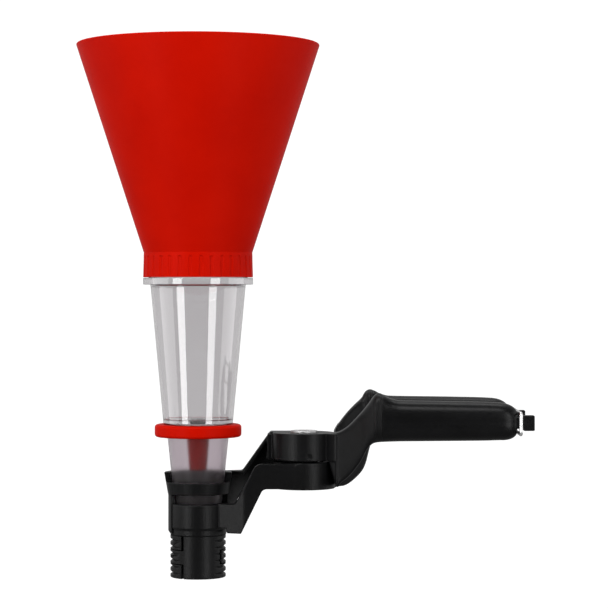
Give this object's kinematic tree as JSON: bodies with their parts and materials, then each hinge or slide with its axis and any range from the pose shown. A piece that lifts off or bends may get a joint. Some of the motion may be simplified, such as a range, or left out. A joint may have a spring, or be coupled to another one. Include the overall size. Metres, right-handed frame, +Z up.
{
  "type": "funnel",
  "caption": "Oil funnel: cone hopper screwed on a clear reservoir with a quarter-turn valve and tapered spout, held in an expanding hand clamp that grips inside a filler neck.",
  "frame": {"origin": "centre of the closed gripper tube at its foot", "axes": "+Z up the spout's axis towards the hopper, +X from the spout towards the pivot and handles, +Y towards the rear jaw"},
  "size_m": [0.279, 0.15, 0.3276],
  "materials": {
    "red_plastic": "moulded polypropylene, satin",
    "clear_plastic": "clear moulded plastic",
    "frosted_plastic": "frosted translucent plastic",
    "black_nylon": "glass-filled nylon, fine grain",
    "black_grip": "smooth satin moulding",
    "zinc_steel": "zinc plated",
    "black_washer": "blackened steel",
    "spring_steel": "bright spring wire",
    "rubber": "pale silicone rubber"
  },
  "bodies": {
    "clamp_frame": {"upper_lever": "black_nylon", "rear_gripper": "black_nylon", "front_grip": "black_grip", "pivot_bolt": "zinc_steel", "head_washer": "black_washer", "thrust_washer": "zinc_steel", "nut_washer": "zinc_steel", "pivot_nut": "zinc_steel", "torsion_spring": "spring_steel"},
    "clamp_arm": {"lower_lever": "black_nylon", "front_gripper": "black_nylon", "rear_grip": "black_grip"},
    "latch": {"latch_ring": "spring_steel"},
    "spout_unit": {"spout": "frosted_plastic", "valve_ring": "red_plastic", "valve_seal": "rubber", "valve_screw": "zinc_steel"},
    "reservoir_unit": {"reservoir": "clear_plastic"},
    "seal_unit": {"hopper_seal": "rubber"},
    "hopper_unit": {"hopper": "red_plastic"}
  },
  "joints": [
    {"name": "clamp_hinge", "type": "hinge", "parent": "clamp_frame", "child": "clamp_arm", "pos_m": [0.0651, 0, 0.0717], "axis": [0, 0, 1], "range_deg": [0, 14]},
    {"name": "latch_swing", "type": "hinge", "parent": "clamp_arm", "child": "latch", "pos_m": [0.195, 0.03, 0.0962], "axis": [0, 0, 1], "range_deg": [0, 140]},
    {"name": "funnel_lift", "type": "slide", "parent": "clamp_frame", "child": "spout_unit", "axis": [0, 0, 1], "range_m": [0, 0.09]},
    {"name": "valve_turn", "type": "hinge", "parent": "spout_unit", "child": "reservoir_unit", "pos_m": [0, 0, 0.09395], "axis": [0, 0, 1], "range_deg": [0, 90]},
    {"name": "seal_lift", "type": "slide", "parent": "reservoir_unit", "child": "seal_unit", "axis": [0, 0, 1], "range_m": [0, 0.0101]},
    {"name": "hopper_turn", "type": "hinge", "parent": "seal_unit", "child": "hopper_unit", "pos_m": [0, 0, 0.19], "axis": [0, 0, 1], "range_deg": [0, 720]}
  ],
  "couplings": [
    {"joint": "latch_swing", "follows": "clamp_hinge", "ratio": 10},
    {"joint": "seal_lift", "follows": "hopper_turn", "m_per_rad": 0.00079577}
  ]
}
